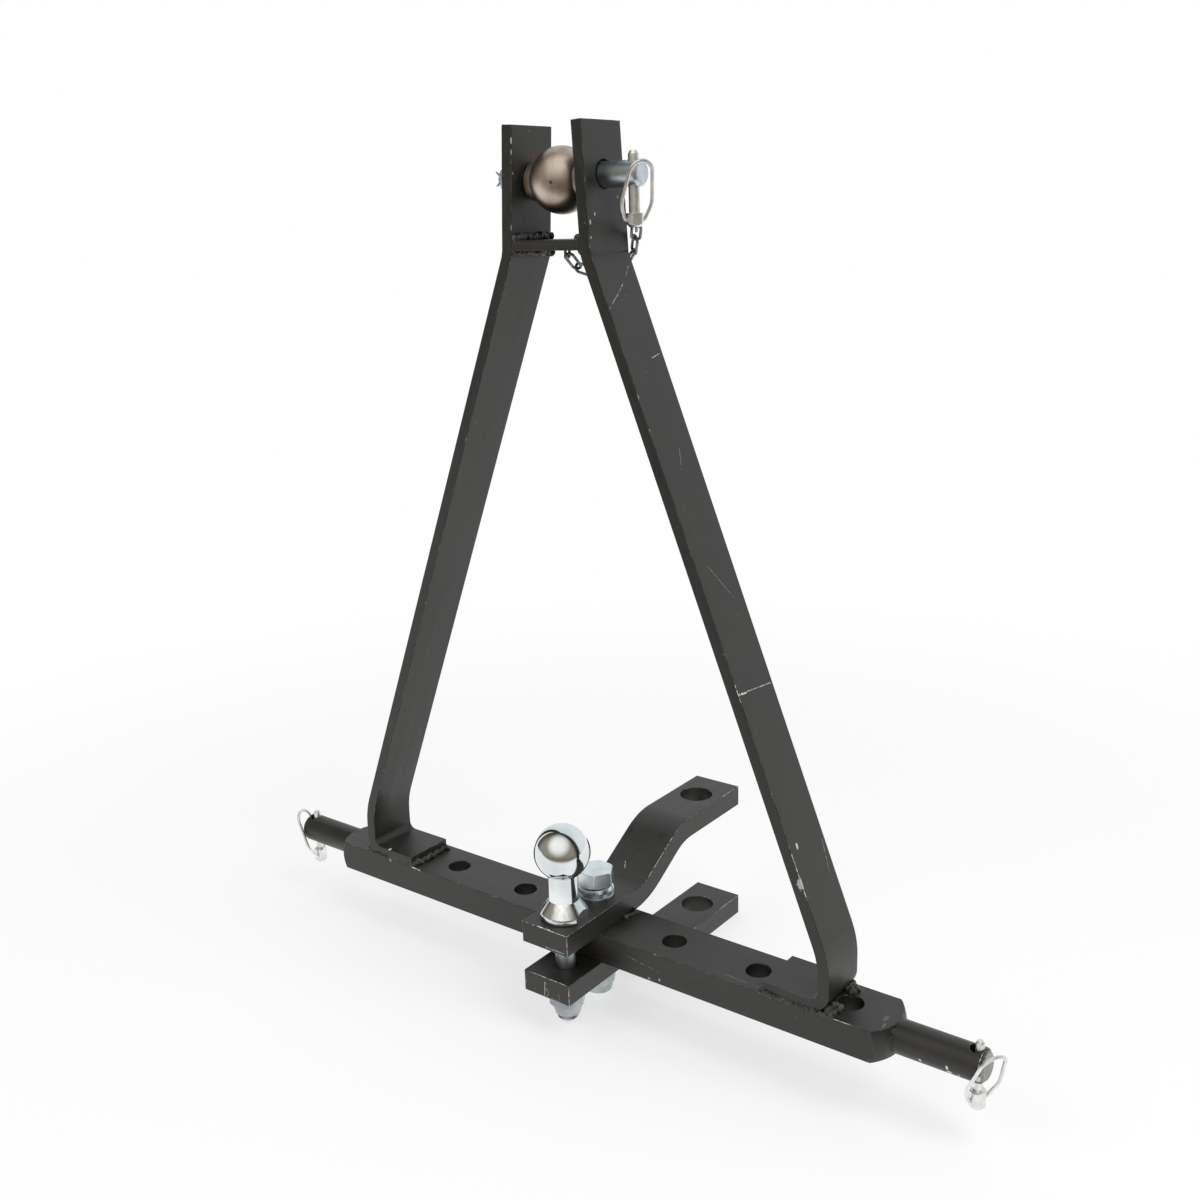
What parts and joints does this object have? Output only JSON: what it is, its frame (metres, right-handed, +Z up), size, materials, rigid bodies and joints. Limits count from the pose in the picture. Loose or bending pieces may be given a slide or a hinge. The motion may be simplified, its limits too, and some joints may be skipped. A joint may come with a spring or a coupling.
{
  "type": "three-point drawbar",
  "caption": "Tractor linkage drawbar: A-frame with top link ball, drilled cross bar with link pins, joggled straps with tow ball and pin jaw.",
  "frame": {"origin": "middle of the cross bar on the link pins' axis, in the A-frame's centre plane", "axes": "+X along the cross bar to the right link pin, -Y towards the tow ball, +Z up the A-frame"},
  "size_m": [0.7825, 0.281, 0.7672],
  "materials": {
    "black_paint": "satin black paint with scratches",
    "weld_metal": "rippled weld beads under black paint",
    "zinc_hardware": "bright zinc plating",
    "tow_ball_plating": "polished zinc plating over turned steel",
    "pin_zinc": "bluish zinc plating",
    "bare_steel": "bare turned steel with light oxide",
    "chain_wire": "dull plated wire"
  },
  "bodies": {
    "root": {"cross_bar": "black_paint", "left_upright": "black_paint", "right_upright": "black_paint", "spacer_plate": "black_paint", "left_foot_welds": "weld_metal", "right_foot_welds": "weld_metal", "spacer_welds": "weld_metal", "chain_staple": "chain_wire", "upper_strap": "black_paint", "lower_strap": "black_paint", "tow_ball": "tow_ball_plating", "ball_nut_washer": "zinc_hardware", "tow_ball_nut": "zinc_hardware", "hitch_bolt": "zinc_hardware", "split_washer": "zinc_hardware", "upper_flat_washer": "zinc_hardware", "lower_flat_washer": "zinc_hardware", "hitch_nut": "zinc_hardware"},
    "top_pin": {"top_link_pin": "pin_zinc", "top_pin_washer": "zinc_hardware", "top_pin_cotter": "zinc_hardware"},
    "top_linch": {"top_linch_pin": "zinc_hardware"},
    "top_ring": {"top_linch_ring": "zinc_hardware"},
    "top_ball": {"top_link_ball": "bare_steel"},
    "chain": {"chain_link_1": "chain_wire", "chain_link_2": "chain_wire", "chain_link_3": "chain_wire", "chain_link_4": "chain_wire", "chain_link_5": "chain_wire", "chain_link_6": "chain_wire", "chain_link_7": "chain_wire", "chain_link_8": "chain_wire"},
    "left_linch": {"left_linch_pin": "zinc_hardware"},
    "left_ring": {"left_linch_ring": "zinc_hardware"},
    "right_linch": {"right_linch_pin": "zinc_hardware"},
    "right_ring": {"right_linch_ring": "zinc_hardware"}
  },
  "joints": [
    {"name": "top_pin_slide", "type": "slide", "parent": "root", "child": "top_pin", "axis": [1, 0, 0], "range_m": [-0.006, 0.003]},
    {"name": "top_linch_slide", "type": "slide", "parent": "top_pin", "child": "top_linch", "axis": [0, 0, -1], "range_m": [0, 0.04]},
    {"name": "top_ring_swing", "type": "hinge", "parent": "top_linch", "child": "top_ring", "pos_m": [0.069, -0.003, 0.62225], "axis": [0.5299, 0.848, 0], "range_deg": [0, 100]},
    {"name": "top_ball_spin", "type": "hinge", "parent": "root", "child": "top_ball", "pos_m": [0, -0.003, 0.6539], "axis": [1, 0, 0], "continuous": true},
    {"name": "chain_swing", "type": "hinge", "parent": "root", "child": "chain", "pos_m": [-0.0013, 0.002, 0.5975], "axis": [0.9422, 0.0476, 0.3318], "range_deg": [0, 15]},
    {"name": "left_linch_slide", "type": "slide", "parent": "root", "child": "left_linch", "axis": [0, 0, -1], "range_m": [0, 0.04]},
    {"name": "left_ring_swing", "type": "hinge", "parent": "left_linch", "child": "left_ring", "pos_m": [-0.368, 0, -0.03025], "axis": [0.342, -0.9397, 0], "range_deg": [0, 100]},
    {"name": "right_linch_slide", "type": "slide", "parent": "root", "child": "right_linch", "axis": [0, 0, -1], "range_m": [0, 0.04]},
    {"name": "right_ring_swing", "type": "hinge", "parent": "right_linch", "child": "right_ring", "pos_m": [0.372, 0, -0.03025], "axis": [0.5299, 0.848, 0], "range_deg": [0, 100]}
  ]
}
